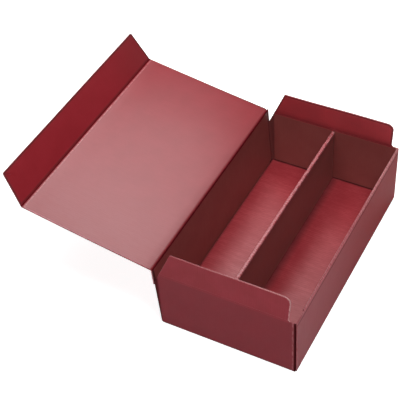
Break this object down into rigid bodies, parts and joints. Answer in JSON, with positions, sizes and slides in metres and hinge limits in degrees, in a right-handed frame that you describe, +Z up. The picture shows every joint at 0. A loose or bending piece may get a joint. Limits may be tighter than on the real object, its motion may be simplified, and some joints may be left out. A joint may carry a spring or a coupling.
{
  "type": "wine shipping box",
  "caption": "Long tuck-top carton of fluted board, lying open, with a folded upright divider that makes two bottle bays.",
  "frame": {"origin": "middle of the box's underside, midway between the floor's long edges and between the end walls", "axes": "+Z up out of the open box; +X from the wall that carries the lid to the wall that the flap tucks behind; Y along the bottles"},
  "size_m": [0.4115, 0.34, 0.1718],
  "materials": {
    "coated_board": "satin coated",
    "divider_board": "satin coated"
  },
  "bodies": {
    "box": {"tray": "coated_board", "divider": "divider_board"},
    "lid": {"lid": "coated_board"},
    "tuck": {"tuck_flap": "coated_board"},
    "near_flap": {"near_dust_flap": "coated_board"},
    "far_flap": {"far_dust_flap": "coated_board"}
  },
  "joints": [
    {"name": "lid_fold", "type": "hinge", "parent": "box", "child": "lid", "pos_m": [-0.10115, 0, 0.0952], "axis": [0, 1, 0], "range_deg": [-20, 170.4]},
    {"name": "tuck_fold", "type": "hinge", "parent": "lid", "child": "tuck", "pos_m": [-0.29085, 0, 0.12729], "axis": [0, 1, 0], "range_deg": [-6, 49.8]},
    {"name": "near_flap_fold", "type": "hinge", "parent": "box", "child": "near_flap", "pos_m": [0, -0.1692, 0.0933], "axis": [-1, 0, 0], "range_deg": [-10.5, 87.5]},
    {"name": "far_flap_fold", "type": "hinge", "parent": "box", "child": "far_flap", "pos_m": [0, 0.1692, 0.0933], "axis": [1, 0, 0], "range_deg": [-10, 83.1]}
  ],
  "couplings": [
    {"joint": "tuck_fold", "follows": "lid_fold", "ratio": 0.29108},
    {"joint": "near_flap_fold", "follows": "lid_fold", "ratio": 0.51291},
    {"joint": "far_flap_fold", "follows": "lid_fold", "ratio": 0.48709}
  ]
}
